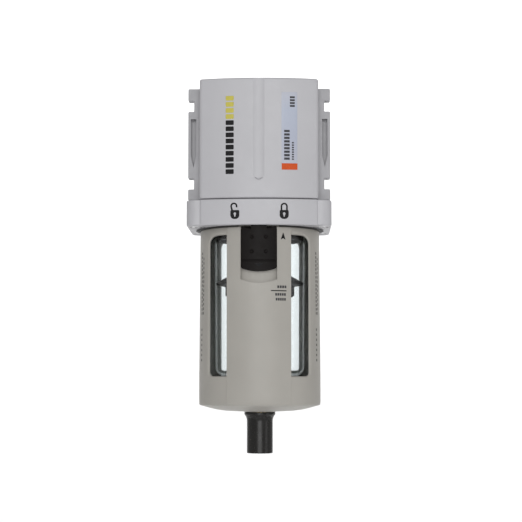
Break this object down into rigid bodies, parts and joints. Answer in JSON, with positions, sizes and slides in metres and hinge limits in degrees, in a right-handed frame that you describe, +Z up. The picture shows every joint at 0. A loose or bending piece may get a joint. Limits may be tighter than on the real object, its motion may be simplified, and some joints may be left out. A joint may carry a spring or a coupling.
{
  "type": "compressed air filter",
  "caption": "In-line compressed air filter with a threaded inlet and outlet, bayonet bowl in a slotted guard, slide lock button and twist drain.",
  "frame": {"origin": "where the axis of the two ports crosses the vertical axis of the bowl", "axes": "+X from the inlet to the outlet, -Y towards the front with the lock button, +Z up along the bowl's axis"},
  "size_m": [0.0538, 0.05, 0.139],
  "materials": {
    "die_cast": "die-cast alloy with smooth pale grey paint",
    "guard_grey": "warm grey moulded plastic, fine texture",
    "clear_bowl": "clear polycarbonate",
    "black_plastic": "black moulded plastic, satin",
    "rubber": "black nitrile rubber",
    "filter_fibre": "white bonded fibre",
    "steel": "zinc-plated steel",
    "brass": "turned brass"
  },
  "bodies": {
    "filter_head": {"housing": "die_cast", "bayonet_ring": "die_cast", "ring_screw_1": "steel", "ring_screw_2": "steel", "ring_screw_3": "steel", "ring_screw_4": "steel", "swirl_deflector": "black_plastic", "element_gasket_upper": "rubber", "filter_element": "filter_fibre", "element_gasket_lower": "rubber", "element_stud": "steel", "baffle": "black_plastic"},
    "bowl_assembly": {"bowl_guard": "guard_grey", "bowl": "clear_bowl", "bowl_o_ring": "rubber", "dust_seal": "rubber", "drain_bush": "brass", "drain_bush_seal": "rubber", "drain_nut": "brass", "lock_spring": "steel"},
    "lock_button": {"lock_button": "black_plastic"},
    "drain_valve": {"drain_stem": "brass", "drain_stem_seal": "rubber"},
    "drain_knob": {"drain_knob": "black_plastic"}
  },
  "joints": [
    {"name": "bowl_turn", "type": "hinge", "parent": "filter_head", "child": "bowl_assembly", "pos_m": [0, 0, -0.03], "axis": [0, 0, -1], "range_deg": [0, 45]},
    {"name": "lock_slide", "type": "slide", "parent": "bowl_assembly", "child": "lock_button", "axis": [0, 0, -1], "range_m": [0, 0.004], "stiffness_N_per_m": 600, "springref_m": -0.002, "deforming": ["lock_spring"]},
    {"name": "drain_lift", "type": "slide", "parent": "bowl_assembly", "child": "drain_valve", "axis": [0, 0, -1], "range_m": [0, 0.00149]},
    {"name": "drain_turn", "type": "hinge", "parent": "drain_valve", "child": "drain_knob", "pos_m": [0, 0, -0.105], "axis": [0, 0, -1], "range_deg": [0, 90]}
  ],
  "couplings": [
    {"joint": "drain_turn", "follows": "drain_lift", "rad_per_m": 1047}
  ]
}
